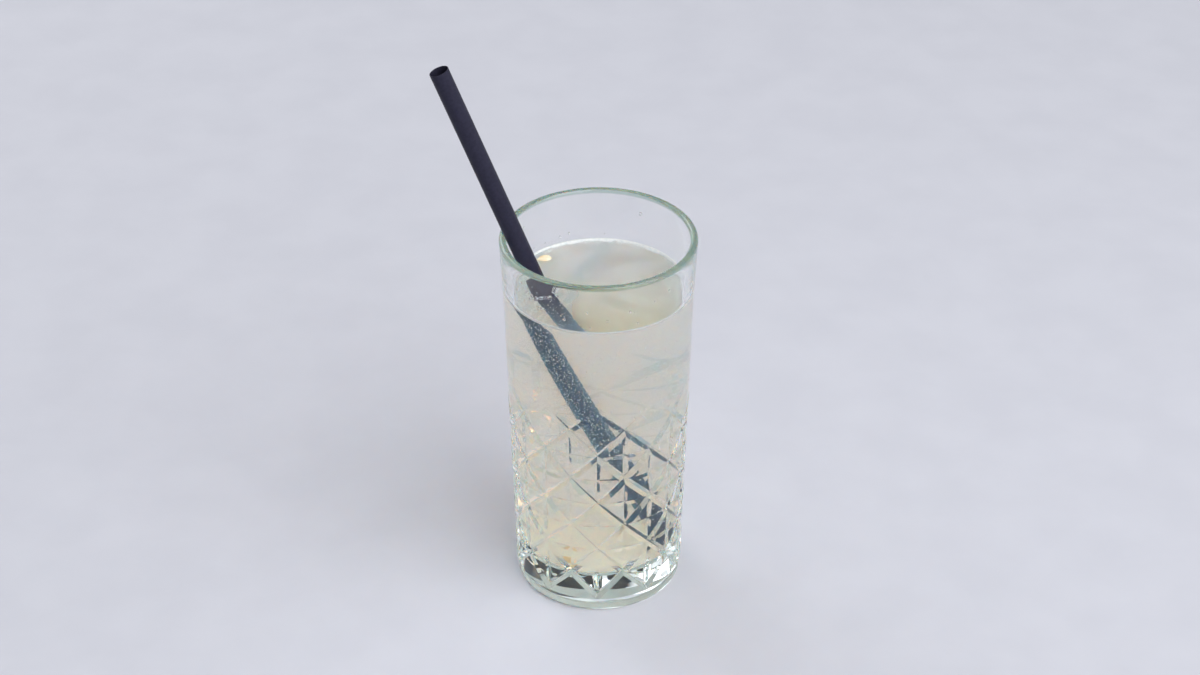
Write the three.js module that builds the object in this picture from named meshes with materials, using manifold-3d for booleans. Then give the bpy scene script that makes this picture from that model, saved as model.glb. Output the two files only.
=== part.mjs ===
// A tall pressed glass of cloudy lemonade with a black straw in it.
// Millimetres, +Z up. The origin is the centre of the flat underside, and -Y is the front.

import * as THREE from 'three';
import { mergeVertices } from 'three/addons/utils/BufferGeometryUtils.js';
import Module from 'manifold-3d';

// Driving sizes of the glass
const HEIGHT = 159;
const RIM_RADIUS = 38.5;
const RIM_WALL = 3;
const NECK_HEIGHT = 148;
const FOOT_RADIUS = 33.7;
const FOOT_HEIGHT = 4.4;
const FOOT_BEVEL = 1.6;
const FOOT_STEP = 0.3;
const FLOOR_LEVEL = 15.5;
const FLOOR_CORNER = 7;
const MID_HEIGHT = 80;

// Driving sizes of the cut pattern: a lattice of diamonds, each with a cross-shaped star
const DIAMONDS_AROUND = 10;
const DIAMOND_HEIGHT = 23.5;
const PATTERN_BOTTOM = 8.5;
const PATTERN_TURN = THREE.MathUtils.degToRad(-1);
const FULL_LEVELS = 6.8;
const FADE_LEVELS = 1;
const FIRST_STAR_LEVEL = 1;
const LAST_STAR_LEVEL = 6;
const GROOVE_DEPTH = 1.4;
const GROOVE_HALF_WIDTH = 1.6;
const STAR_DEPTH = 0.8;
const STAR_HALF_WIDTH = 1.2;

// Driving sizes of the drink, its floating pip and the straw
const DRINK_LEVEL = 136.4;
const MENISCUS_RISE = 1.2;
const MENISCUS_WIDTH = 2.5;
const PIP_LENGTH = 6.6;
const PIP_WIDTH = 4.2;
const PIP_TAPER = 0.25;
const PIP_PROUD = 1.3;
const PIP_TURN = THREE.MathUtils.degToRad(18);
const PIP_X = -21.7;
const PIP_Y = 19.8;
const STRAW_DIAMETER = 7.5;
const STRAW_WALL = 0.25;
const STRAW_LEAN = THREE.MathUtils.degToRad(20.7);
const STRAW_FOOT = new THREE.Vector3(22.1, -5, 18.4);
const STRAW_LENGTH = 228.4;

// Clearance between pieces that touch, and the distance at which two corners are one
const GAP = 0.3;
const WELD = 1e-4;

// Fineness of the round shapes
const CELL_STEPS = [0, 0.2, 0.5, 0.8];
const RIM_STEPS = 6;
const FOOT_ARC_STEPS = 3;
const CORNER_STEPS = 4;
const DRINK_SIDES = 60;
const PIP_SIDES = 10;
const PIP_STEPS = 8;
const STRAW_CURVE_STEPS = 16;

const wasm = await Module();
wasm.setup();

// Joins corners that coincide and drops triangles that have shrunk to a line.
function welded(geometry) {
  geometry.deleteAttribute('normal');
  geometry.deleteAttribute('uv');
  const joined = mergeVertices(geometry, WELD);
  const kept = [];
  for (let t = 0; t < joined.index.count; t += 3) {
    const corners = [0, 1, 2].map((k) => joined.index.getX(t + k));
    if (new Set(corners).size === 3) kept.push(...corners);
  }
  joined.setIndex(kept);
  return joined;
}

function solidOf(geometry) {
  const joined = welded(geometry);
  const vertProperties = joined.getAttribute('position').array;
  const triVerts = new Uint32Array(joined.index.array);
  return new wasm.Manifold(new wasm.Mesh({ numProp: 3, vertProperties, triVerts }));
}

function geometryOf(solid) {
  const mesh = solid.getMesh();
  const geometry = new THREE.BufferGeometry();
  geometry.setAttribute('position', new THREE.BufferAttribute(mesh.vertProperties, 3));
  geometry.setIndex(new THREE.BufferAttribute(mesh.triVerts, 1));
  geometry.computeVertexNormals();
  return geometry;
}

// A profile of (radius, height) points turned about the Z axis, starting at the front.
function turned(profile, sides) {
  return new THREE.LatheGeometry(profile, sides).rotateX(Math.PI / 2);
}

// Points on a quarter or half circle in the profile plane, first end to last.
function arc(radius, height, size, from, to, steps) {
  const turn = (k) => from + ((to - from) * k) / steps;
  return Array.from({ length: steps + 1 }, (_, k) => new THREE.Vector2(
    radius + size * Math.cos(turn(k)),
    height + size * Math.sin(turn(k)),
  ));
}

// The plain outer wall: a slim cone that opens a little more towards the rim.
const OUTER_WALL = new THREE.SplineCurve([
  new THREE.Vector2(10, 34.45),
  new THREE.Vector2(60, 35.65),
  new THREE.Vector2(110, 36.85),
  new THREE.Vector2(136, 37.5),
  new THREE.Vector2(HEIGHT - RIM_WALL / 2, RIM_RADIUS),
]);

// The inner wall, from above the rounded corner of the floor up to the rim.
const INNER_WALL = new THREE.SplineCurve([
  new THREE.Vector2(FLOOR_LEVEL + FLOOR_CORNER, 30.7),
  new THREE.Vector2(60, 32),
  new THREE.Vector2(110, 33.3),
  new THREE.Vector2(136, 34.05),
  new THREE.Vector2(HEIGHT - RIM_WALL / 2, RIM_RADIUS - RIM_WALL),
]);

function radiusAt(wall, height) {
  const heights = wall.points.map((p) => p.x);
  const last = heights.length - 2;
  const span = Math.min(last, Math.max(0, heights.findLastIndex((h) => h <= height)));
  const share = (height - heights[span]) / (heights[span + 1] - heights[span]);
  return wall.getPoint((span + Math.min(1, Math.max(0, share))) / (last + 1)).y;
}

// Height of a level of the lattice: nodes lie where column plus level is even.
const LEVEL_HEIGHT = DIAMOND_HEIGHT / 2;
const COLUMN_ANGLE = Math.PI / DIAMONDS_AROUND;

function levelHeight(level) {
  return PATTERN_BOTTOM + level * LEVEL_HEIGHT;
}

// How deep the pattern is cut at a column and level of the lattice, which may be fractions.
// The grooves run where column plus level, or column minus level, is an even number.
function cutDepth(column, level, radius) {
  const fade = THREE.MathUtils.clamp((FULL_LEVELS + FADE_LEVELS - level) / FADE_LEVELS, 0, 1);
  const width = COLUMN_ANGLE * radius;
  const spacing = (width * LEVEL_HEIGHT) / Math.hypot(width, LEVEL_HEIGHT);
  const fromEven = (sum) => Math.abs(sum - 2 * Math.round(sum / 2));
  const nearest = Math.min(fromEven(column + level), fromEven(column - level)) * spacing;
  const groove = GROOVE_DEPTH * Math.max(0, 1 - nearest / GROOVE_HALF_WIDTH);
  return fade * Math.max(groove, starDepth(column, level, width));
}

// The star's arms: thin leaf-shaped cuts along the two diagonals of a diamond, except in the top and bottom rows.
function starDepth(column, level, width) {
  const c = Math.floor(column + 0.5);
  const l = Math.floor(level + 0.5);
  const centres = [[c, l], [c + 1, l], [c - 1, l], [c, l + 1], [c, l - 1]];
  let deepest = 0;
  for (const [atColumn, atLevel] of centres) {
    const inRows = atLevel >= FIRST_STAR_LEVEL && atLevel <= LAST_STAR_LEVEL;
    if (!inRows || (atColumn + atLevel) % 2 === 0) continue;
    const du = Math.abs(column - atColumn);
    const dv = Math.abs(level - atLevel);
    const upright = armDepth(dv, du * width);
    const sideways = armDepth(du, dv * LEVEL_HEIGHT);
    deepest = Math.max(deepest, upright, sideways);
  }
  return deepest;
}

function armDepth(along, aside) {
  const leaf = Math.max(0, 1 - along * along);
  return leaf * STAR_DEPTH * Math.max(0, 1 - aside / STAR_HALF_WIDTH);
}

// The glass in section: underside, foot, patterned wall, rounded rim, inner wall, floor.
function glassProfile() {
  const wallAt = (h) => new THREE.Vector2(radiusAt(OUTER_WALL, h), h);
  const innerAt = (h) => new THREE.Vector2(radiusAt(INNER_WALL, h), h);
  const rimBend = RIM_WALL / 2;
  const cornerTop = FLOOR_LEVEL + FLOOR_CORNER;
  const cornerRadius = radiusAt(INNER_WALL, cornerTop) - FLOOR_CORNER;
  const rows = [];
  for (let level = 0; level < FULL_LEVELS + FADE_LEVELS; level += 1) {
    for (const step of CELL_STEPS) rows.push(wallAt(levelHeight(level + step)));
  }
  return [
    new THREE.Vector2(0, 0),
    ...arc(FOOT_RADIUS - FOOT_BEVEL, FOOT_BEVEL, FOOT_BEVEL, -Math.PI / 2, 0, FOOT_ARC_STEPS),
    new THREE.Vector2(FOOT_RADIUS, FOOT_HEIGHT - 2 * FOOT_STEP),
    new THREE.Vector2(FOOT_RADIUS - FOOT_STEP, FOOT_HEIGHT),
    ...rows,
    wallAt(DRINK_LEVEL),
    wallAt(NECK_HEIGHT),
    ...arc(RIM_RADIUS - rimBend, HEIGHT - rimBend, rimBend, 0, Math.PI, RIM_STEPS),
    innerAt(NECK_HEIGHT),
    innerAt(DRINK_LEVEL),
    innerAt(MID_HEIGHT),
    ...arc(cornerRadius, cornerTop, FLOOR_CORNER, 0, -Math.PI / 2, CORNER_STEPS),
    new THREE.Vector2(0, FLOOR_LEVEL),
  ];
}

// Turns the profile with columns that follow the lattice, then cuts the pattern into the wall.
function glassGeometry() {
  const profile = glassProfile();
  const firstRow = profile.findIndex((p) => p.y === levelHeight(0));
  const steps = CELL_STEPS.length;
  const columns = 2 * DIAMONDS_AROUND * steps;
  const lastRow = firstRow + Math.ceil(FULL_LEVELS + FADE_LEVELS) * steps;
  const geometry = turned(profile, columns);
  const position = geometry.getAttribute('position');
  const index = [];
  for (let c = 0; c <= columns; c += 1) {
    const column = Math.floor(c / steps) + CELL_STEPS[c % steps];
    for (let r = 0; r < profile.length; r += 1) {
      const level = (profile[r].y - PATTERN_BOTTOM) / LEVEL_HEIGHT;
      const cut = r >= firstRow && r < lastRow ? cutDepth(column, level, profile[r].x) : 0;
      const radius = profile[r].x - cut;
      const angle = column * COLUMN_ANGLE + PATTERN_TURN;
      const at = c * profile.length + r;
      position.setXYZ(at, radius * Math.sin(angle), -radius * Math.cos(angle), profile[r].y);
      if (c < columns && r < profile.length - 1) {
        const cell = Math.floor(c / steps) + Math.floor((r - firstRow) / steps);
        index.push(...quad(at, profile.length, Math.abs(cell % 2) === 0));
      }
    }
  }
  geometry.setIndex(index);
  return welded(geometry);
}

// Two triangles of a wall square, split along the groove that crosses it.
function quad(corner, columnLength, rising) {
  const [a, b, c, d] = [corner, corner + columnLength, corner + columnLength + 1, corner + 1];
  return rising ? [a, b, c, a, c, d] : [a, b, d, b, c, d];
}

// The drink in section, from the middle of its floor to the middle of its surface.
function drinkProfile() {
  const cornerTop = FLOOR_LEVEL + FLOOR_CORNER;
  const cornerRadius = radiusAt(INNER_WALL, cornerTop) - FLOOR_CORNER;
  const wallAt = (h) => new THREE.Vector2(radiusAt(INNER_WALL, h) - GAP, h);
  const edge = radiusAt(INNER_WALL, DRINK_LEVEL) - GAP;
  const rise = (share) => new THREE.Vector2(
    edge - MENISCUS_WIDTH * share,
    DRINK_LEVEL + MENISCUS_RISE * (1 - share) ** 2,
  );
  return [
    new THREE.Vector2(0, FLOOR_LEVEL + GAP),
    ...arc(cornerRadius, cornerTop, FLOOR_CORNER - GAP, -Math.PI / 2, 0, CORNER_STEPS),
    wallAt(MID_HEIGHT),
    wallAt(DRINK_LEVEL),
    rise(0),
    rise(0.4),
    rise(1),
    new THREE.Vector2(0, DRINK_LEVEL),
  ];
}

// A ring-shaped bar along +Z, from height start to height end.
function tube(outer, inner, start, end) {
  const ring = new THREE.Shape().absarc(0, 0, outer, 0, 2 * Math.PI);
  ring.holes.push(new THREE.Path().absarc(0, 0, inner, 0, 2 * Math.PI));
  const options = { depth: end - start, bevelEnabled: false, curveSegments: STRAW_CURVE_STEPS };
  return new THREE.ExtrudeGeometry(ring, options).translate(0, 0, start);
}

// The straw leans to the left: its own +Z axis runs from its foot to its mouth.
const STRAW_TURN = new THREE.Matrix4()
  .makeRotationY(-STRAW_LEAN)
  .setPosition(STRAW_FOOT);

// A lemon pip: a drop shape, round at one end and pointed at the other, lying along X.
function pipGeometry() {
  const profile = Array.from({ length: PIP_STEPS + 1 }, (_, k) => {
    const turn = (Math.PI * k) / PIP_STEPS;
    const taper = 1 - PIP_TAPER * Math.cos(turn);
    return new THREE.Vector2(
      (PIP_WIDTH / 2) * Math.sin(turn) * taper,
      (-PIP_LENGTH / 2) * Math.cos(turn),
    );
  });
  return new THREE.LatheGeometry(profile, PIP_SIDES).rotateZ(-Math.PI / 2);
}

// The pip floats at the back left, partly sunk in the surface.
const PIP_PLACE = new THREE.Matrix4()
  .makeRotationZ(PIP_TURN)
  .setPosition(PIP_X, PIP_Y, DRINK_LEVEL + PIP_PROUD - PIP_WIDTH / 2);

function drinkGeometry() {
  const outer = STRAW_DIAMETER / 2 + GAP;
  const inner = STRAW_DIAMETER / 2 - STRAW_WALL - GAP;
  const slot = solidOf(tube(outer, inner, -GAP, STRAW_LENGTH).applyMatrix4(STRAW_TURN));
  const pip = solidOf(pipGeometry().applyMatrix4(PIP_PLACE));
  return geometryOf(solidOf(turned(drinkProfile(), DRINK_SIDES)).subtract(slot).add(pip));
}

function strawGeometry() {
  const outer = STRAW_DIAMETER / 2;
  return welded(tube(outer, outer - STRAW_WALL, 0, STRAW_LENGTH));
}

const glass = new THREE.Mesh(
  glassGeometry(),
  new THREE.MeshStandardMaterial({ color: 0xdce8e4, roughness: 0.03, metalness: 0 }),
);
glass.name = 'glass';

const lemonade = new THREE.Mesh(
  drinkGeometry(),
  new THREE.MeshStandardMaterial({ color: 0xd8d4c2, roughness: 0.1, metalness: 0 }),
);
lemonade.name = 'lemonade';

const straw = new THREE.Mesh(
  strawGeometry(),
  new THREE.MeshStandardMaterial({ color: 0x1e1e22, roughness: 0.45, metalness: 0 }),
);
straw.name = 'straw';
straw.position.copy(STRAW_FOOT);
straw.rotation.y = -STRAW_LEAN;

const part = new THREE.Group();
part.add(glass, lemonade, straw);

export default part;
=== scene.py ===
"""A tall pressed glass of cloudy lemonade with a black straw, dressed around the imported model.

Sizes are in millimetres; add_mesh turns them into metres. +Z is up and -Y is the front.
"""

import math

import bmesh
import bpy
import numpy as np
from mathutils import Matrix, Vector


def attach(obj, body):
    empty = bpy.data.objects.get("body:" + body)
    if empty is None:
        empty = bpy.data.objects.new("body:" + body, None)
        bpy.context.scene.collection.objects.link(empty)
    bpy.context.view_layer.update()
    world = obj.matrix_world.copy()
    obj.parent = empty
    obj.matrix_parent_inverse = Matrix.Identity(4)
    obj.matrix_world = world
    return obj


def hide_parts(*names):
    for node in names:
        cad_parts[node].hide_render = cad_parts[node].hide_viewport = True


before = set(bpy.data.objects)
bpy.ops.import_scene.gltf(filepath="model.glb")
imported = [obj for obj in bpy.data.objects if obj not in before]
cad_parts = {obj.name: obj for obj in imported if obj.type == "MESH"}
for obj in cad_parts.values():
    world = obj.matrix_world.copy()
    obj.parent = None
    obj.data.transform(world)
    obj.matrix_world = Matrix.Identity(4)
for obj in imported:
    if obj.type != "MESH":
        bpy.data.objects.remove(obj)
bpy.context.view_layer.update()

MM = 0.001
TOLERANCE = 0.01
BODY = "root"

# Driving sizes of the glass
HEIGHT = 159
RIM_RADIUS = 38.5
RIM_WALL = 3
RIM_TINT_START = HEIGHT - 1.9
RIM_TINT_END = HEIGHT - 1.3
NECK_HEIGHT = 148
FOOT_RADIUS = 33.7
FOOT_HEIGHT = 4.4
FOOT_BEVEL = 1.6
FOOT_STEP = 0.3
FLOOR_LEVEL = 15.5
FLOOR_CORNER = 7
OUTER_WALL = ((10, 34.45), (60, 35.65), (110, 36.85), (136, 37.5), (HEIGHT - RIM_WALL / 2, RIM_RADIUS))
INNER_WALL = (
    (FLOOR_LEVEL + FLOOR_CORNER, 30.7),
    (60, 32),
    (110, 33.3),
    (136, 34.05),
    (HEIGHT - RIM_WALL / 2, RIM_RADIUS - RIM_WALL),
)

# Driving sizes of the cut pattern: a lattice of diamonds, each with a cross-shaped star
DIAMONDS_AROUND = 10
DIAMOND_HEIGHT = 23.5
PATTERN_BOTTOM = 8.5
PATTERN_TURN = math.radians(-1)
FULL_LEVELS = 6.8
FADE_LEVELS = 1
FIRST_STAR_LEVEL = 1
LAST_STAR_LEVEL = 6
GROOVE_DEPTH = 1.4
GROOVE_HALF_WIDTH = 1.6
STAR_DEPTH = 0.8
STAR_HALF_WIDTH = 1.2
CELL_STEPS = 20
CREASE_ANGLE = math.radians(24)
LEVEL_HEIGHT = DIAMOND_HEIGHT / 2
COLUMN_ANGLE = math.pi / DIAMONDS_AROUND

# Driving sizes of the drink, its pips and the straw
DRINK_LEVEL = 136.4
MENISCUS_RISE = 0.6
MENISCUS_WIDTH = 1.6
CONTACT_HEIGHT = DRINK_LEVEL + MENISCUS_RISE
DRINK_INTO_WALL = 0.15
DRINK_COLUMNS = 240
SURFACE_RINGS = 70
PIP_LENGTH = 6.6
PIP_WIDTH = 4.2
PIP_TAPER = 0.25
PIP_PROUD = 1.3
PIP_TURN = math.radians(18)
PIP_PLACE = (-21.7, 19.8, DRINK_LEVEL + PIP_PROUD - PIP_WIDTH / 2)
SUNK_PIP_TURN = math.radians(-20)
SUNK_PIP_PLACE = (-11, -20, 19)
STRAW_RADIUS = 3.75
STRAW_WALL = 0.25
STRAW_LEAN = math.radians(20.7)
STRAW_FOOT = np.array((22.1, -5, 18.4))
STRAW_AXIS = np.array((-math.sin(STRAW_LEAN), 0, math.cos(STRAW_LEAN)))
STRAW_LENGTH = 228.4
STRAW_SIDE = np.cross((0, 1, 0), STRAW_AXIS)
STRAW_COLUMNS = 96
STRAW_ROWS = 60

# Small things in and on the drink
SEED = 7
STRAW_BUBBLES = 1500
STRAW_WET_LENGTH = 125
PULP_SPECKS = 15000
SPECK_REACH = 3
SPECK_SIZE = 0.22
SPECK_BOTTOM = 72
WATERLINE_BUBBLES = 46
FILM_RINGS = 60
FILM_COLUMNS = 360
FILM_LIFT = 0.05
FILM_BAY_TURN = math.radians(-55)
FILM_BAY_SHARE = 0.72
FILM_RIPPLES = ((0.06, 13, 0), (0.05, 22, 1), (0.03, 41, 2))
FOAM_COLUMNS = 720
FOAM_THREAD = 0.8
FOAM_RISE = 0.65
FOAM_WIDTH = 1
FOAM_THINNING = 0.4
FOAM_BUBBLES = 500
WALL_DROPS = 60
PULP_REACH = 26.6
PULP_DEPTH = 1
PULP_INTO_FLOOR = 0.3
PULP_RINGS = 24
PULP_COLUMNS = 360

# How strongly the glass, the drink and the straw bend light
GLASS_INDEX = 1.52
DRINK_INDEX = 1.333
STRAW_INDEX = 1.2

# The floor, just below the glass
FLOOR_SIZE = 6000
FLOOR_DROP = 0.05

# The camera, fitted to the rim, the foot and the lattice
CAMERA_PLACE = (0.57, -795.11, 633.58)
CAMERA_TILT = math.radians(56.73)
CAMERA_LENS = 72

# Light of the pale room, the directions of its dark and dim sides, and how often light may bounce
ROOM_LIGHT = 0.95
DARK_SIDE = (0.43, 0.72, 0.545)
DIM_SIDE = (-0.6, -0.75, 0.25)
LIGHT_BOUNCES = 48


# Meshes

def add_mesh(name, points, faces, material):
    """A smooth-shaded object from points in millimetres and faces given as lists of point numbers."""
    mesh = bpy.data.meshes.new(name)
    mesh.from_pydata((np.asarray(points) * MM).tolist(), [], faces)
    mesh.shade_smooth()
    mesh.materials.append(material)
    thing = bpy.data.objects.new(name, mesh)
    bpy.context.scene.collection.objects.link(thing)
    return thing


def face_centres(thing):
    """Radius and height of the middle of every face, in millimetres."""
    centres = np.empty(3 * len(thing.data.polygons))
    thing.data.polygons.foreach_get("center", centres)
    x, y, z = centres.reshape(-1, 3).T / MM
    return np.hypot(x, y), z


def set_bending(thing, bending):
    """Stores on every face how strongly light bends there: the ratio of the two sides' indices."""
    attribute = thing.data.attributes.new("bending", "FLOAT", "FACE")
    attribute.data.foreach_set("value", np.asarray(bending, np.float32))


def radius_at(wall, height):
    """The radius of a wall at some heights, on a smooth curve through the wall's points."""
    heights, radii = np.array(wall, float).T
    last = len(heights) - 1
    height = np.asarray(height, float)
    span = np.clip(np.searchsorted(heights, height, side="right") - 1, 0, last - 1)
    share = np.clip((height - heights[span]) / (heights[span + 1] - heights[span]), 0, 1)
    start, end = radii[span], radii[span + 1]
    leave = (end - radii[np.maximum(span - 1, 0)]) / 2
    arrive = (radii[np.minimum(span + 2, last)] - start) / 2
    cubic = 2 * start - 2 * end + leave + arrive
    square = 3 * end - 3 * start - 2 * leave - arrive
    return ((cubic * share + square) * share + leave) * share + start


def arc(radius, height, size, first, last, steps):
    """Profile points on part of a circle."""
    turn = np.radians(np.linspace(first, last, steps + 1))
    return np.column_stack((radius + size * np.cos(turn), height + size * np.sin(turn)))


def straight(first, last, steps):
    """Profile points on a line, without its first point."""
    return np.linspace(first, last, steps + 1)[1:]


def wall_rows(wall, heights):
    """Profile points on a wall."""
    return np.column_stack((radius_at(wall, heights), heights))


def ring_faces(rows, columns, rising=None):
    """Faces of rings of points, each ring joined to the next; squares are split where rising says how."""
    faces = []
    for r in range(rows - 1):
        for c in range(columns):
            a = r * columns + c
            b = r * columns + (c + 1) % columns
            upper_a, upper_b = a + columns, b + columns
            if rising is None or rising[r, c] == 0:
                faces.append((a, b, upper_b, upper_a))
            elif rising[r, c] > 0:
                faces += [(a, b, upper_b), (a, upper_b, upper_a)]
            else:
                faces += [(a, b, upper_a), (b, upper_b, upper_a)]
    return faces


def closed_on_axis(points, faces, columns, bottom, top):
    """Adds the two points on the axis that close the first and the last ring."""
    count = len(points)
    points = np.vstack((points, (0, 0, bottom), (0, 0, top)))
    last = count - columns
    for c in range(columns):
        d = (c + 1) % columns
        faces.append((count, d, c))
        faces.append((count + 1, last + c, last + d))
    return points, faces


def even_angles(columns):
    """Angles evenly spread round a full turn."""
    return np.arange(columns) * 2 * math.pi / columns


def turned(radii, heights, columns, turn=0):
    """Points of rings about the Z axis; radii and heights are arrays of rows by columns."""
    angle = even_angles(columns) + turn
    x = radii * np.sin(angle)
    y = -radii * np.cos(angle)
    return np.stack((x, y, np.broadcast_to(heights, x.shape)), -1).reshape(-1, 3)


# The cut pattern

def from_even(number):
    """How far a number is from the nearest even one."""
    return np.abs(number - 2 * np.round(number / 2))


def arm_depth(along, aside):
    """One arm of a star: a leaf-shaped cut, deepest at the star's middle."""
    leaf = np.clip(1 - along * along, 0, None)
    return leaf * STAR_DEPTH * np.clip(1 - aside / STAR_HALF_WIDTH, 0, None)


def star_depth(column, level, width):
    """The stars lie where column plus level is odd, but not in the top and bottom rows."""
    near_column = np.floor(column + 0.5)
    near_level = np.floor(level + 0.5)
    deepest = np.zeros(np.broadcast(column, level).shape)
    for step_column, step_level in ((0, 0), (1, 0), (-1, 0), (0, 1), (0, -1)):
        at_column = near_column + step_column
        at_level = near_level + step_level
        along_row = np.abs(column - at_column)
        along_column = np.abs(level - at_level)
        upright = arm_depth(along_column, along_row * width)
        sideways = arm_depth(along_row, along_column * LEVEL_HEIGHT)
        in_rows = (at_level >= FIRST_STAR_LEVEL) & (at_level <= LAST_STAR_LEVEL)
        is_star = (at_column + at_level) % 2 * in_rows
        deepest = np.maximum(deepest, is_star * np.maximum(upright, sideways))
    return deepest


def cut_depth(column, level, radius):
    """Depth of the pattern; the grooves run where column plus or minus level is even."""
    fade = np.clip((FULL_LEVELS + FADE_LEVELS - level) / FADE_LEVELS, 0, 1)
    width = COLUMN_ANGLE * radius
    spacing = width * LEVEL_HEIGHT / np.hypot(width, LEVEL_HEIGHT)
    nearest = np.minimum(from_even(column + level), from_even(column - level)) * spacing
    tip = np.hypot(from_even(column) * width, level * LEVEL_HEIGHT)
    groove = GROOVE_DEPTH * np.clip(1 - np.where(level < 0, tip, nearest) / GROOVE_HALF_WIDTH, 0, None)
    star = np.where(level < 0, 0, star_depth(column, level, width))
    return fade * np.maximum(groove, star)


# The glass

def glass_profile():
    """Underside, foot, patterned wall, rounded rim, inner wall and floor, as (radius, height) rows."""
    bend = RIM_WALL / 2
    corner_top = FLOOR_LEVEL + FLOOR_CORNER
    corner_radius = INNER_WALL[0][1] - FLOOR_CORNER
    steps = round((FULL_LEVELS + FADE_LEVELS) * CELL_STEPS)
    pattern = PATTERN_BOTTOM + np.arange(-3, steps + 1) * LEVEL_HEIGHT / CELL_STEPS
    band = (FOOT_RADIUS - FOOT_STEP, FOOT_HEIGHT)
    band_top = wall_rows(OUTER_WALL, pattern[:1])[0]
    return np.vstack((
        straight((0, 0), (FOOT_RADIUS - FOOT_BEVEL, 0), 6)[:-1],
        arc(FOOT_RADIUS - FOOT_BEVEL, FOOT_BEVEL, FOOT_BEVEL, -90, 0, 8),
        straight((FOOT_RADIUS, FOOT_BEVEL), (FOOT_RADIUS, FOOT_HEIGHT - 2 * FOOT_STEP), 2),
        straight((FOOT_RADIUS, FOOT_HEIGHT - 2 * FOOT_STEP), band, 3),
        straight(band, band_top, 4)[:-1],
        wall_rows(OUTER_WALL, pattern),
        wall_rows(OUTER_WALL, np.linspace(pattern[-1], NECK_HEIGHT, 9)[1:]),
        wall_rows(OUTER_WALL, np.linspace(NECK_HEIGHT, HEIGHT - bend, 5)[1:-1]),
        arc(RIM_RADIUS - bend, HEIGHT - bend, bend, 0, 180, 14),
        wall_rows(INNER_WALL, np.linspace(HEIGHT - bend, CONTACT_HEIGHT, 5)[1:]),
        wall_rows(INNER_WALL, np.linspace(CONTACT_HEIGHT, corner_top, 12)[1:-1]),
        arc(corner_radius, corner_top, FLOOR_CORNER, 0, -90, 10),
        straight((corner_radius, FLOOR_LEVEL), (0, FLOOR_LEVEL), 5)[:-1],
    ))


def make_glass(material):
    """The glass with its pattern as real relief; squares are split along the grooves."""
    profile = glass_profile()
    columns = 2 * DIAMONDS_AROUND * CELL_STEPS
    column = np.arange(columns) / CELL_STEPS
    radius, height = profile[:, :1], profile[:, 1:]
    level = (height - PATTERN_BOTTOM) / LEVEL_HEIGHT
    outside = np.arange(len(profile))[:, None] < np.argmax(profile[:, 1])
    cut = np.where(outside & (radius > FOOT_RADIUS), cut_depth(column, level, radius), 0)
    points = turned(radius - cut, height, columns, PATTERN_TURN)
    cell = np.floor(column) + np.floor(level + 1e-6)
    patterned = outside & (level > -0.2) & (level < FULL_LEVELS + FADE_LEVELS)
    rising = np.where(patterned, 1 - 2 * (cell % 2), 0)
    faces = ring_faces(len(profile), columns, rising)
    points, faces = closed_on_axis(points, faces, columns, 0, FLOOR_LEVEL)
    thing = add_mesh("pressed_glass", points, faces, material)
    thing.data.set_sharp_from_angle(angle=CREASE_ANGLE)
    radius, height = face_centres(thing)
    wet = (height > FLOOR_LEVEL - TOLERANCE) & (height < CONTACT_HEIGHT)
    wet &= radius < radius_at(INNER_WALL, height) + 2 * DRINK_INTO_WALL
    set_bending(thing, np.where(wet, 1, GLASS_INDEX))
    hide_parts("glass")
    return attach(thing, BODY)


# The lemonade

SURFACE_EDGE = float(radius_at(INNER_WALL, CONTACT_HEIGHT)) + DRINK_INTO_WALL


def straw_centre(height):
    """Where the straw's axis passes a height."""
    return STRAW_FOOT + STRAW_AXIS * (height - STRAW_FOOT[2]) / STRAW_AXIS[2]


def make_lemonade(material):
    """The drink, reaching just into the wall, with a meniscus at the wall and round the straw."""
    underside = FLOOR_LEVEL - DRINK_INTO_WALL
    corner_top = FLOOR_LEVEL + FLOOR_CORNER
    corner_radius = INNER_WALL[0][1] - FLOOR_CORNER
    sides = wall_rows(INNER_WALL, np.linspace(corner_top, CONTACT_HEIGHT, 40)[1:])
    surface = SURFACE_EDGE * (1 - np.linspace(0, 1, SURFACE_RINGS)[1:-1] ** 1.5)
    profile = np.vstack((
        straight((0, underside), (corner_radius, underside), 5)[:-1],
        arc(corner_radius, corner_top, FLOOR_CORNER + DRINK_INTO_WALL, -90, 0, 10),
        sides + (DRINK_INTO_WALL, 0),
        np.column_stack((surface, np.full(len(surface), DRINK_LEVEL))),
    ))
    points = turned(profile[:, :1], profile[:, 1:], DRINK_COLUMNS)
    on_top = np.arange(len(points)) >= (len(profile) - len(surface)) * DRINK_COLUMNS
    points[on_top, 2] = surface_height(points[on_top, 0], points[on_top, 1])
    faces = ring_faces(len(profile), DRINK_COLUMNS)
    points, faces = closed_on_axis(points, faces, DRINK_COLUMNS, underside, DRINK_LEVEL)
    thing = add_mesh("cloudy_lemonade", points, faces, material)
    is_top = face_centres(thing)[1] > DRINK_LEVEL - TOLERANCE
    set_bending(thing, np.where(is_top, DRINK_INDEX, DRINK_INDEX / GLASS_INDEX))
    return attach(thing, BODY)


def surface_height(x, y):
    """Height of the drink's surface, drawn up at the wall and round the straw."""
    from_wall = (SURFACE_EDGE - np.hypot(x, y)) / MENISCUS_WIDTH
    centre = straw_centre(DRINK_LEVEL)
    across = np.hypot((x - centre[0]) * STRAW_AXIS[2], y - centre[1]) - STRAW_RADIUS
    from_straw = np.clip(across, 0, None) / MENISCUS_WIDTH
    rise = np.clip(1 - from_wall, 0, 1) ** 2 + 0.6 * np.clip(1 - from_straw, 0, 1) ** 2
    return DRINK_LEVEL + MENISCUS_RISE * np.clip(rise, 0, 1)


# The pips

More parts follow.
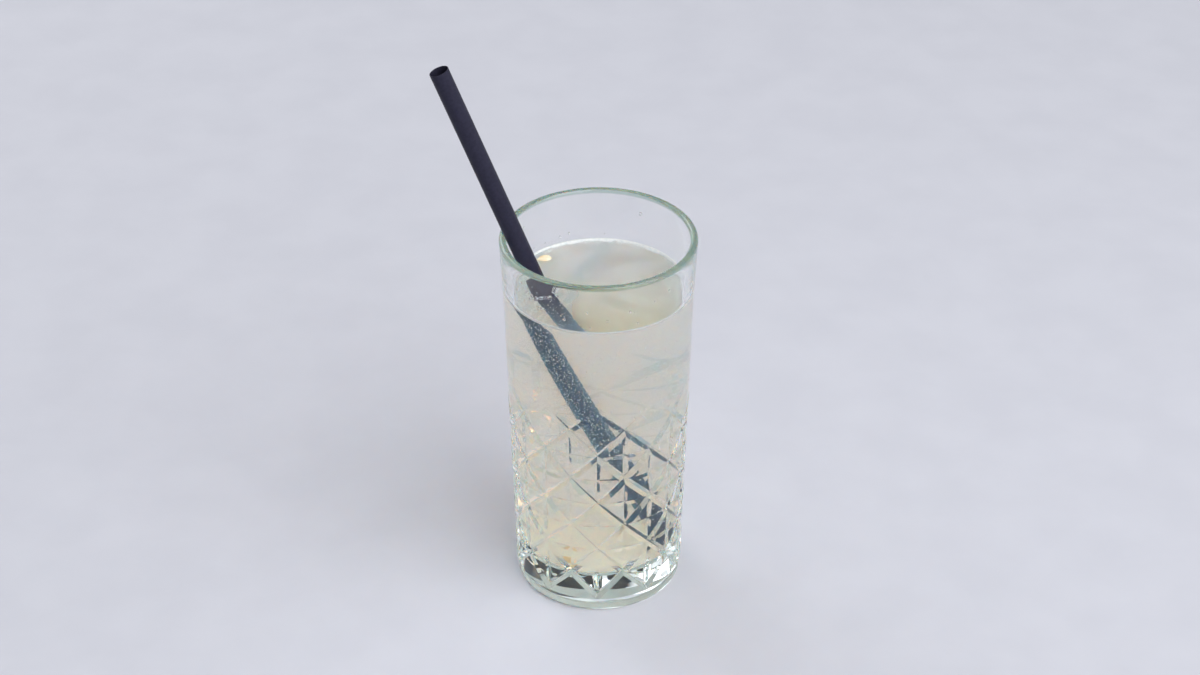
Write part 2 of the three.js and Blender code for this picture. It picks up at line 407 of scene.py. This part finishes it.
def make_pip(name, place, turn, material):
    """A lemon pip: a drop shape, round at one end and pointed at the other, with a faint ridge."""
    along = np.linspace(0, math.pi, 25)[1:-1, None]
    columns = 28
    angle = even_angles(columns)
    ridge = 1 + 0.05 * np.cos(2 * angle)
    radii = PIP_WIDTH / 2 * np.sin(along) * (1 - PIP_TAPER * np.cos(along)) * ridge
    lengths = -PIP_LENGTH / 2 * np.cos(along)
    points = turned(radii, lengths, columns)
    faces = ring_faces(len(along), columns)
    points, faces = closed_on_axis(points, faces, columns, -PIP_LENGTH / 2, PIP_LENGTH / 2)
    lying = np.stack((points[:, 2], points[:, 1], -points[:, 0]), -1)
    x = lying[:, 0] * math.cos(turn) - lying[:, 1] * math.sin(turn)
    y = lying[:, 0] * math.sin(turn) + lying[:, 1] * math.cos(turn)
    thing = add_mesh(name, np.stack((x, y, lying[:, 2]), -1) + place, faces, material)
    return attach(thing, BODY)


# The straw

def make_straw(material):
    """A thin open tube with a rounded lip at each end."""
    lip = STRAW_WALL / 2
    inner = STRAW_RADIUS - STRAW_WALL
    along = np.linspace(lip, STRAW_LENGTH - lip, STRAW_ROWS)
    middle = STRAW_RADIUS - lip
    profile = np.vstack((
        np.column_stack((np.full(STRAW_ROWS, STRAW_RADIUS), along)),
        arc(middle, STRAW_LENGTH - lip, lip, 0, 180, 8)[1:-1],
        np.column_stack((np.full(STRAW_ROWS, inner), along[::-1])),
        arc(middle, lip, lip, 180, 360, 8)[1:-1],
    ))
    points = turned(profile[:, :1], profile[:, 1:], STRAW_COLUMNS)
    faces = ring_faces(len(profile) + 1, STRAW_COLUMNS)
    faces = [tuple(p % len(points) for p in face) for face in faces]
    placed = points @ np.array((STRAW_SIDE, (0, 1, 0), STRAW_AXIS)) + STRAW_FOOT
    thing = add_mesh("drinking_straw", placed, faces, material)
    sunk = face_centres(thing)[1] < DRINK_LEVEL
    set_bending(thing, np.where(sunk, 1, STRAW_INDEX))
    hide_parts("straw")
    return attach(thing, BODY)


# Bubbles, foam, drops and settled pulp

def add_balls(name, places, radii, material, detail=2):
    """One joined piece of many small balls."""
    shape = bmesh.new()
    bmesh.ops.create_icosphere(shape, subdivisions=detail, radius=1)
    ball = np.array([v.co for v in shape.verts])
    faces = np.array([[v.index for v in f.verts] for f in shape.faces])
    shape.free()
    points = np.asarray(places)[:, None] + np.asarray(radii)[:, None, None] * ball
    numbers = faces + np.arange(len(points))[:, None, None] * len(ball)
    thing = add_mesh(name, points.reshape(-1, 3), numbers.reshape(-1, 3).tolist(), material)
    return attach(thing, BODY)


def make_straw_bubbles(material, random):
    """Fine bubbles that cling to the sunk part of the straw; their pale colour is a painted reflection,
    standing in for the bright glint of clear air bubbles.
    """
    along = random.uniform(1, STRAW_WET_LENGTH, STRAW_BUBBLES)[:, None]
    angle = random.uniform(0, 2 * math.pi, STRAW_BUBBLES)[:, None]
    radii = 0.1 + 0.25 * random.random(STRAW_BUBBLES) ** 3
    outward = np.cos(angle) * STRAW_SIDE + np.sin(angle) * np.array((0, 1, 0))
    places = STRAW_FOOT + along * STRAW_AXIS + outward * (STRAW_RADIUS + 0.6 * radii[:, None])
    add_balls("straw_bubbles", places, radii, material, detail=1)


def make_pulp_specks(material, random):
    """Fine pale specks of pulp that hang in the upper drink near the wall."""
    height = random.uniform(SPECK_BOTTOM, DRINK_LEVEL - 1, PULP_SPECKS)
    radius = radius_at(INNER_WALL, height) - random.uniform(0.5, SPECK_REACH, PULP_SPECKS)
    angle = random.uniform(0, 2 * math.pi, PULP_SPECKS)
    size = SPECK_SIZE * (0.5 + random.random(PULP_SPECKS) ** 2)
    points = np.stack((radius * np.cos(angle), radius * np.sin(angle), height), -1)[:, None]
    corners = np.array(((1, 0, 0), (0, 1, 0), (-1, 0, 0), (0, -1, 0), (0, 0, 1), (0, 0, -1)))
    points = points + size[:, None, None] * corners
    sides = np.array([(a, (a + 1) % 4, 4) for a in range(4)] + [((a + 1) % 4, a, 5) for a in range(4)])
    faces = sides + 6 * np.arange(PULP_SPECKS)[:, None, None]
    thing = add_mesh("pulp_specks", points.reshape(-1, 3), faces.reshape(-1, 3).tolist(), material)
    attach(thing, BODY)


def make_waterline_bubbles(material, random):
    """Larger bubbles on the surface, gathered round the straw."""
    angle = random.uniform(0, 2 * math.pi, WATERLINE_BUBBLES)
    radii = 0.35 + 0.75 * random.random(WATERLINE_BUBBLES) ** 2
    away = STRAW_RADIUS + radii * random.uniform(0.9, 2.6, WATERLINE_BUBBLES)
    centre = straw_centre(DRINK_LEVEL)
    x = centre[0] + away * np.cos(angle) / STRAW_AXIS[2]
    y = centre[1] + away * np.sin(angle)
    z = surface_height(x, y) + 0.25 * radii
    add_balls("waterline_bubbles", np.stack((x, y, z), -1), radii, material, detail=3)


def on_surface(angle, inward):
    """Places on the drink's surface by angle from the right and distance from the wall."""
    radius = SURFACE_EDGE - inward
    x = radius * np.cos(angle)
    y = radius * np.sin(angle)
    return np.stack((x, y, surface_height(x, y)), -1)


def make_film(material):
    """A thin frosted film of fine pulp that floats on the surface, with a clear bay round the straw."""
    angle = even_angles(FILM_COLUMNS)
    bay = np.clip(np.cos(angle - FILM_BAY_TURN), 0, 1) ** 6
    ragged = np.ones(FILM_COLUMNS)
    for size, waves, start in FILM_RIPPLES:
        ragged += size * np.sin(waves * angle + start)
    reach = (SURFACE_EDGE - FOAM_THREAD) * (1 - FILM_BAY_SHARE * bay * ragged)
    out = reach * np.linspace(0, 1, FILM_RINGS + 1)[1:, None]
    radii = np.vstack((out, out[::-1]))
    lift = np.repeat((FILM_LIFT, 2 * FILM_LIFT), FILM_RINGS)[:, None]
    heights = surface_height(radii * np.sin(angle), -radii * np.cos(angle)) + lift
    points = turned(radii, heights, FILM_COLUMNS)
    faces = ring_faces(2 * FILM_RINGS, FILM_COLUMNS)
    middle = DRINK_LEVEL + FILM_LIFT
    points, faces = closed_on_axis(points, faces, FILM_COLUMNS, middle, middle + FILM_LIFT)
    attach(add_mesh("surface_film", points, faces, material), BODY)


def make_foam(material, random):
    """A pale ribbon of froth along the wall, wide and ragged at the back, with bubbles on it; the wide
    white band at the back is partly real froth and partly a painted highlight for the light's glint on
    the back meniscus.
    """
    angle = even_angles(FOAM_COLUMNS)
    ragged = np.zeros(FOAM_COLUMNS)
    for waves in (7, 11, 19, 31, 53, 83):
        ragged += np.sin(waves * angle + random.uniform(0, 2 * math.pi)) / waves ** 0.4
    # Wide white band at the back: partly real froth, partly a painted highlight where the light glints on
    # the meniscus.
    froth_and_glint_at_back = np.clip(np.sin(angle - math.radians(5)), 0, 1)
    thread = FOAM_THREAD * (1 - FOAM_THINNING * froth_and_glint_at_back)
    width = thread + FOAM_WIDTH * froth_and_glint_at_back * np.clip(0.7 + 0.5 * ragged, 0.1, 2)
    share = np.array((0, 0.3, 0.7, 1))[:, None]
    lift = FOAM_RISE * np.array((0, 0.8, 1, 0.85))[:, None] * (1.1 - FOAM_THINNING * froth_and_glint_at_back)
    radii = SURFACE_EDGE - width * (1 - share)
    x = radii * np.cos(angle)
    y = radii * np.sin(angle)
    surface = surface_height(x, y)
    upper = np.stack((x, y, surface + lift), -1)
    lower = np.stack((x, y, surface - 0.3 * FOAM_RISE), -1)
    rows = np.concatenate((upper, lower[::-1]))
    points = rows.reshape(-1, 3)
    faces = ring_faces(len(rows) + 1, FOAM_COLUMNS)
    faces = [tuple(p % len(points) for p in face[::-1]) for face in faces]
    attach(add_mesh("foam_ribbon", points, faces, material), BODY)
    back = math.radians(10) + math.radians(150) * random.random(FOAM_BUBBLES)
    patches = on_surface(back, 0.2 + 2.2 * random.random(FOAM_BUBBLES) ** 2)
    add_balls("foam_bubbles", patches, 0.1 + 0.25 * random.random(FOAM_BUBBLES) ** 2, material)


def make_wall_drops(material, random):
    """Small drops that cling to the dry inner wall above the drink."""
    angle = random.normal(math.radians(195), math.radians(60), WALL_DROPS)
    height = DRINK_LEVEL + 2.5 + 15 * random.random(WALL_DROPS) ** 1.6
    radii = 0.25 + 0.5 * random.random(WALL_DROPS) ** 2
    radius = radius_at(INNER_WALL, height) + 0.1
    places = np.stack((radius * np.cos(angle), radius * np.sin(angle), height), -1)
    add_balls("wall_drops", places, radii, material)


def floor_height(radius):
    """Height of the floor of the glass and its rounded corner."""
    rise = np.clip(radius - (INNER_WALL[0][1] - FLOOR_CORNER), 0, None)
    return FLOOR_LEVEL + FLOOR_CORNER - np.sqrt(FLOOR_CORNER ** 2 - rise ** 2)


def make_settled_pulp(material, random):
    """A soft, uneven layer of fine pulp on the floor of the glass, with a ragged edge."""
    share = np.linspace(0, 1, PULP_RINGS + 1)[1:, None]
    angle = even_angles(PULP_COLUMNS)
    ragged = np.zeros(PULP_COLUMNS)
    uneven = np.zeros((PULP_RINGS, PULP_COLUMNS))
    for waves in (3, 5, 8, 13, 21, 34, 55):
        start, lean = random.uniform(0, 2 * math.pi, 2)
        ragged += np.sin(waves * angle + start) / waves ** 0.5
        uneven += np.sin(waves * angle + start + lean * share * 5) / waves ** 0.6
    radii = share * (PULP_REACH + 0.25 * ragged)
    lower = floor_height(radii) - PULP_INTO_FLOOR
    upper = lower + PULP_DEPTH * np.sqrt(1 - share ** 4) * (1 + 0.2 * uneven)
    points = turned(np.vstack((radii, radii[-2::-1])), np.vstack((lower, upper[-2::-1])), PULP_COLUMNS)
    faces = ring_faces(2 * PULP_RINGS - 1, PULP_COLUMNS)
    middle = FLOOR_LEVEL - PULP_INTO_FLOOR
    points, faces = closed_on_axis(points, faces, PULP_COLUMNS, middle, middle + PULP_DEPTH)
    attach(add_mesh("settled_pulp", points, faces, material), BODY)


# Materials

def new_material(name):
    """A node material: its node tree, its Principled shader and its output."""
    material = bpy.data.materials.new(name)
    material.use_nodes = True
    tree = material.node_tree
    shader = next(n for n in tree.nodes if n.type == "BSDF_PRINCIPLED")
    output = next(n for n in tree.nodes if n.type == "OUTPUT_MATERIAL")
    return material, tree, shader, output


def noise_ramp(tree, scale, low, high, detail=3, swirl=0):
    """A ramp between two colours that follows a noise in the object's own coordinates, swirled or not."""
    place = tree.nodes.new("ShaderNodeTexCoord")
    noise = tree.nodes.new("ShaderNodeTexNoise")
    noise.inputs["Scale"].default_value = scale
    noise.inputs["Detail"].default_value = detail
    noise.inputs["Distortion"].default_value = swirl
    tree.links.new(place.outputs["Object"], noise.inputs["Vector"])
    ramp = tree.nodes.new("ShaderNodeValToRGB")
    ramp.color_ramp.elements[0].position = 0.35
    ramp.color_ramp.elements[0].color = low
    ramp.color_ramp.elements[1].position = 0.65
    ramp.color_ramp.elements[1].color = high
    tree.links.new(noise.outputs[0], ramp.inputs[0])
    return ramp.outputs["Color"]


def use_stored_bending(tree, shader, index):
    """Bends light as stored on the faces; the socket itself keeps the piece's own index."""
    attribute = tree.nodes.new("ShaderNodeAttribute")
    attribute.attribute_name = "bending"
    shader.inputs["IOR"].default_value = index
    tree.links.new(attribute.outputs["Fac"], shader.inputs["IOR"])


def grey(value):
    """A plain grey, for ramps that steer a number such as the roughness."""
    return (value, value, value, 1)


def axis_ramp(tree, axis, start, end, low, high):
    """A ramp between two colours along one axis, between two places in millimetres."""
    place = tree.nodes.new("ShaderNodeTexCoord")
    parts = tree.nodes.new("ShaderNodeSeparateXYZ")
    tree.links.new(place.outputs["Object"], parts.inputs[0])
    share = tree.nodes.new("ShaderNodeMapRange")
    share.inputs["From Min"].default_value = start * MM
    share.inputs["From Max"].default_value = end * MM
    tree.links.new(parts.outputs[axis], share.inputs["Value"])
    ramp = tree.nodes.new("ShaderNodeValToRGB")
    ramp.color_ramp.elements[0].color = low
    ramp.color_ramp.elements[1].color = high
    tree.links.new(share.outputs["Result"], ramp.inputs[0])
    return ramp.outputs["Color"]


def glass_material():
    """Clear pressed glass, faintly green where it is thick."""
    material, tree, shader, output = new_material("pressed_glass")
    shader.inputs["Transmission Weight"].default_value = 1
    tint = axis_ramp(tree, "Z", RIM_TINT_START, RIM_TINT_END, (1, 1, 1, 1), (0.4, 0.55, 0.48, 1))
    tree.links.new(tint, shader.inputs["Base Color"])
    use_stored_bending(tree, shader, GLASS_INDEX)
    tree.links.new(noise_ramp(tree, 40, grey(0), grey(0.015)), shader.inputs["Roughness"])
    inside = tree.nodes.new("ShaderNodeVolumeAbsorption")
    inside.inputs["Color"].default_value = (0.72, 0.97, 0.97, 1)
    inside.inputs["Density"].default_value = 4.5
    tree.links.new(inside.outputs[0], output.inputs["Volume"])
    return material


def lemonade_material():
    """Cloudy pale lemonade: fine pulp scatters light, mostly forwards and more of the blue."""
    material, tree, shader, output = new_material("lemonade")
    shader.inputs["Base Color"].default_value = (0.98, 0.97, 0.93, 1)
    shader.inputs["Roughness"].default_value = 0
    shader.inputs["Transmission Weight"].default_value = 1
    use_stored_bending(tree, shader, DRINK_INDEX)
    scatter = tree.nodes.new("ShaderNodeVolumeScatter")
    scatter.inputs["Color"].default_value = (0.3, 0.62, 1, 1)
    scatter.inputs["Density"].default_value = 60
    scatter.inputs["Anisotropy"].default_value = 0.95
    absorb = tree.nodes.new("ShaderNodeVolumeAbsorption")
    absorb.inputs["Color"].default_value = (0.93, 0.74, 0.46, 1)
    absorb.inputs["Density"].default_value = 4
    add = tree.nodes.new("ShaderNodeAddShader")
    tree.links.new(scatter.outputs[0], add.inputs[0])
    tree.links.new(absorb.outputs[0], add.inputs[1])
    tree.links.new(add.outputs[0], output.inputs["Volume"])
    return material


def straw_material():
    """Satin black plastic with a faint grain."""
    material, tree, shader, _ = new_material("black_straw")
    tone = noise_ramp(tree, 900, (0.024, 0.0235, 0.042, 1), (0.03, 0.029, 0.052, 1))
    tree.links.new(tone, shader.inputs["Base Color"])
    tree.links.new(noise_ramp(tree, 400, grey(0.36), grey(0.44)), shader.inputs["Roughness"])
    use_stored_bending(tree, shader, STRAW_INDEX)
    return material


def pip_material():
    """Pale yellow pip with an uneven orange core."""
    material, tree, shader, _ = new_material("lemon_pip")
    tone = noise_ramp(tree, 260, (0.95, 0.88, 0.68, 1), (0.9, 0.66, 0.32, 1), detail=1)
    tree.links.new(tone, shader.inputs["Base Color"])
    shader.inputs["Roughness"].default_value = 0.35
    return material


def froth_pulp_and_sheen_material(name, low, high, clear):
    """Pale froth and fine pulp between two tones, more or less see-through; on the straw's bubbles the
    pale tones are a painted reflection.
    """
    material, tree, shader, _ = new_material(name)
    tree.links.new(noise_ramp(tree, 700, low, high), shader.inputs["Base Color"])
    shader.inputs["Roughness"].default_value = 0.3
    shader.inputs["IOR"].default_value = 1.1
    shader.inputs["Transmission Weight"].default_value = clear
    return material


def film_material():
    """A pale frosted film, clearer in places."""
    material, tree, shader, _ = new_material("surface_film")
    tint = axis_ramp(tree, "Y", -30, 10, (0.9, 0.885, 0.72, 1), (0.96, 0.97, 0.98, 1))
    tree.links.new(tint, shader.inputs["Base Color"])
    shader.inputs["IOR"].default_value = 1.25
    clear = noise_ramp(tree, 45, grey(0.77), grey(0.98), detail=4, swirl=1.2)
    tree.links.new(clear, shader.inputs["Transmission Weight"])
    tree.links.new(noise_ramp(tree, 60, grey(0.29), grey(0.33)), shader.inputs["Roughness"])
    return material


def bubble_material():
    """Clear bubbles with a bright skin."""
    material, tree, shader, _ = new_material("bubble")
    shader.inputs["Base Color"].default_value = (0.97, 0.98, 1, 1)
    shader.inputs["Transmission Weight"].default_value = 0.95
    shader.inputs["IOR"].default_value = 1.3
    tree.links.new(noise_ramp(tree, 500, grey(0), grey(0.08)), shader.inputs["Roughness"])
    return material


def drop_material():
    """Clear drops of the drink."""
    material, tree, shader, _ = new_material("drop")
    shader.inputs["Base Color"].default_value = (0.98, 0.98, 0.97, 1)
    shader.inputs["Transmission Weight"].default_value = 1
    shader.inputs["IOR"].default_value = 1.333
    tree.links.new(noise_ramp(tree, 500, grey(0), grey(0.06)), shader.inputs["Roughness"])
    return material


def pulp_material():
    """Soft pale layer of settled lemon pulp."""
    material, tree, shader, _ = new_material("settled_pulp")
    tone = noise_ramp(tree, 300, (0.99, 0.99, 0.9, 1), (1, 1, 0.95, 1))
    tree.links.new(tone, shader.inputs["Base Color"])
    shader.inputs["Roughness"].default_value = 1
    shader.inputs["IOR"].default_value = 1.1
    shader.inputs["Transmission Weight"].default_value = 0.05
    return material


def floor_material():
    """Pale grey-lilac surface with faint mottling."""
    material, tree, shader, _ = new_material("floor")
    tone = noise_ramp(tree, 30, (0.65, 0.66, 0.73, 1), (0.675, 0.685, 0.755, 1))
    tree.links.new(tone, shader.inputs["Base Color"])
    shader.inputs["Roughness"].default_value = 0.8
    return material


# The stage, the lights and the camera

def make_floor():
    """A plain pale floor."""
    half = FLOOR_SIZE / 2
    points = [(x * half, y * half, -FLOOR_DROP) for x, y in ((-1, -1), (1, -1), (1, 1), (-1, 1))]
    add_mesh("floor", points, [(0, 1, 2, 3)], floor_material())


def add_light(name, place, size, power):
    """A square soft light that faces the glass."""
    light = bpy.data.lights.new(name, "AREA")
    light.shape = "SQUARE"
    light.size = size
    light.energy = power
    thing = bpy.data.objects.new(name, light)
    thing.location = np.array(place)
    aim = np.array((0, 0, HEIGHT * MM / 2)) - np.array(place)
    thing.rotation_euler = Vector(aim).to_track_quat("-Z", "Y").to_euler()
    bpy.context.scene.collection.objects.link(thing)


def make_lights():
    """A large soft key from the front right and a smaller window light from the back left."""
    add_light("key", (1, -1.05, 1.5), 1.8, 26)
    add_light("window", (-1.1, 1.3, 0.9), 0.9, 5)


def shade_towards(tree, direction, side, bounds, colours):
    """A ramp between two colours by how near a direction of the room is to one side."""
    towards = tree.nodes.new("ShaderNodeVectorMath")
    towards.operation = "DOT_PRODUCT"
    towards.inputs[1].default_value = Vector(side).normalized()
    tree.links.new(direction, towards.inputs[0])
    ramp = tree.nodes.new("ShaderNodeValToRGB")
    for element, position, colour in zip(ramp.color_ramp.elements, bounds, colours):
        element.position = position
        element.color = colour
    tree.links.new(towards.outputs["Value"], ramp.inputs[0])
    return ramp.outputs["Color"]


def make_room():
    """A pale, even room with one dark side, up behind the glass, and a dim side at the front left."""
    world = bpy.data.worlds.new("room")
    bpy.context.scene.world = world
    world.use_nodes = True
    tree = world.node_tree
    background = tree.nodes["Background"]
    background.inputs["Strength"].default_value = ROOM_LIGHT
    direction = tree.nodes.new("ShaderNodeTexCoord").outputs["Generated"]
    pale_to_dark = ((0.97, 0.98, 1, 1), (0.02, 0.02, 0.022, 1))
    dark = shade_towards(tree, direction, DARK_SIDE, (0.77, 0.82), pale_to_dark)
    dim = shade_towards(tree, direction, DIM_SIDE, (0.2, 0.9), (grey(1), grey(0.35)))
    mix = tree.nodes.new("ShaderNodeMix")
    mix.data_type = "RGBA"
    mix.blend_type = "MULTIPLY"
    mix.inputs["Factor"].default_value = 1
    tree.links.new(dark, mix.inputs["A"])
    tree.links.new(dim, mix.inputs["B"])
    tree.links.new(mix.outputs["Result"], background.inputs["Color"])


def make_camera():
    """The camera at the photograph's viewing angle."""
    camera = bpy.data.objects.new("camera", bpy.data.cameras.new("camera"))
    camera.data.lens = CAMERA_LENS
    camera.data.clip_start = 0.01
    camera.location = np.array(CAMERA_PLACE) * MM
    camera.rotation_euler = (CAMERA_TILT, 0, 0)
    bpy.context.scene.collection.objects.link(camera)
    bpy.context.scene.camera = camera


def set_render():
    """Enough light bounces for glass around a cloudy drink, and plain colours."""
    scene = bpy.context.scene
    scene.cycles.max_bounces = LIGHT_BOUNCES
    scene.cycles.transmission_bounces = LIGHT_BOUNCES
    scene.cycles.volume_bounces = LIGHT_BOUNCES
    scene.cycles.glossy_bounces = LIGHT_BOUNCES // 2
    scene.cycles.diffuse_bounces = 4
    scene.cycles.blur_glossy = 0
    scene.cycles.use_denoising = True
    scene.view_settings.view_transform = "Standard"


make_camera()
set_render()
make_lights()
make_room()
make_floor()
make_glass(glass_material())
drink = make_lemonade(lemonade_material())
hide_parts("lemonade")
pip_look = pip_material()
make_pip("floating_pip", PIP_PLACE, PIP_TURN, pip_look)
make_pip("sunk_pip", SUNK_PIP_PLACE, SUNK_PIP_TURN, pip_look)
make_straw(straw_material())

random = np.random.default_rng(SEED)
# Pale balls: real pale pulp for the specks, and on the straw's bubbles a painted reflection that stands
# in for the glint of clear air.
pulp = froth_pulp_and_sheen_material("fine_pulp_and_bubble_sheen", (0.68, 0.84, 0.93, 1), (0.88, 0.97, 1, 1), 0)
make_straw_bubbles(pulp, random)
make_pulp_specks(pulp, random)
make_waterline_bubbles(bubble_material(), random)
make_film(film_material())
make_foam(froth_pulp_and_sheen_material("froth", (0.82, 0.86, 0.87, 1), (0.95, 0.96, 0.95, 1), 0.1), random)
make_wall_drops(drop_material(), random)
make_settled_pulp(pulp_material(), random)
